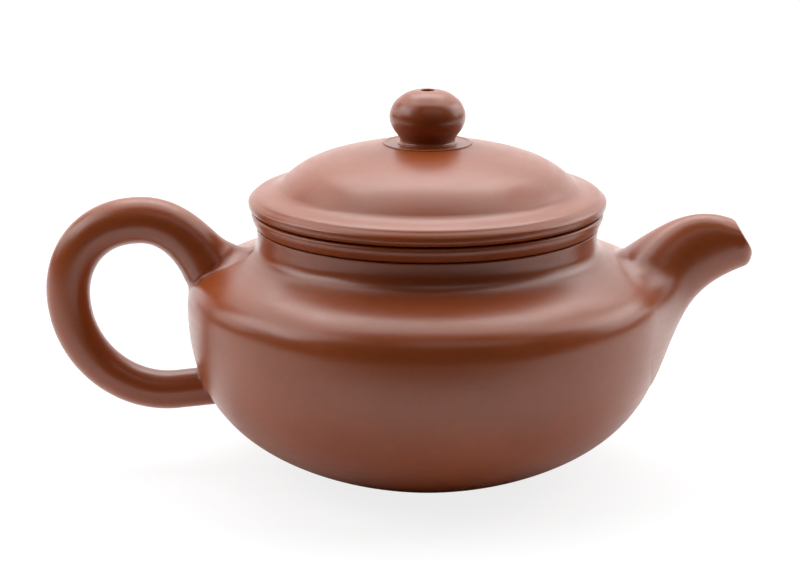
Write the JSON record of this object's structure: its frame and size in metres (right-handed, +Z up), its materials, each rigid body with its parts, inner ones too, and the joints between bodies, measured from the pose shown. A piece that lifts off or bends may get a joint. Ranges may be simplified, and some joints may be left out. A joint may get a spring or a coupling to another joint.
{
  "type": "yixing teapot",
  "caption": "Round, low clay teapot with a domed lift-off lid and ball knob, a loop handle at the side, and a short curved spout with a strainer behind it.",
  "frame": {"origin": "on the pot's axis at the surface that the foot stands on, 0.6 mm below the flat underside of the base", "axes": "+X towards the spout, -X towards the handle, +Z up"},
  "size_m": [0.1508, 0.1024, 0.0812],
  "materials": {
    "clay": "unglazed fired clay, burnished to a satin sheen",
    "pale_clay": "unglazed fired clay, left matt"
  },
  "bodies": {
    "pot": {"base_disc": "pale_clay", "foot_ring": "clay", "belly_wall": "clay", "closing_disc": "clay", "neck_ring": "clay", "mouth_line": "clay", "ball_strainer": "pale_clay", "spout": "clay", "handle": "clay"},
    "lid": {"lid_rim": "clay", "lid_dome": "clay", "lid_flange": "pale_clay", "knob_collar": "clay", "knob": "clay"}
  },
  "joints": [
    {"name": "lid_lift", "type": "slide", "parent": "pot", "child": "lid", "axis": [0, 0, 1], "range_m": [0, 0.06]}
  ]
}
